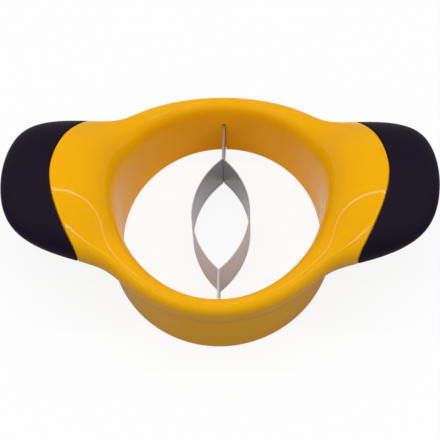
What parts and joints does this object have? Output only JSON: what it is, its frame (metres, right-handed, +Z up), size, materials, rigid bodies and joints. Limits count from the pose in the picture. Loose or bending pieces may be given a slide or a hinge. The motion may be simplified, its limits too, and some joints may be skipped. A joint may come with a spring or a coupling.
{
  "type": "mango slicer",
  "caption": "Push-down mango slicer: hollow oval ring with raised wing handles, soft end grips and bowed steel blades that part the cheeks from the stone.",
  "frame": {"origin": "centre of the oval opening, on the plane that the ring stands on", "axes": "+X along the wings to the right, +Y to the rear, +Z up"},
  "size_m": [0.208, 0.1312, 0.0584],
  "materials": {
    "body_plastic": "glossy moulded plastic, warm yellow",
    "blade_steel": "rolled stainless strip, fine brushed",
    "keeper_plastic": "plain moulded plastic",
    "grip_rubber": "satin soft-touch layer"
  },
  "bodies": {
    "root": {"upper_shell": "body_plastic", "lower_shell": "body_plastic", "left_blade": "blade_steel", "right_blade": "blade_steel", "front_keeper": "keeper_plastic", "rear_keeper": "keeper_plastic", "left_grip": "grip_rubber", "right_grip": "grip_rubber"}
  },
  "joints": []
}
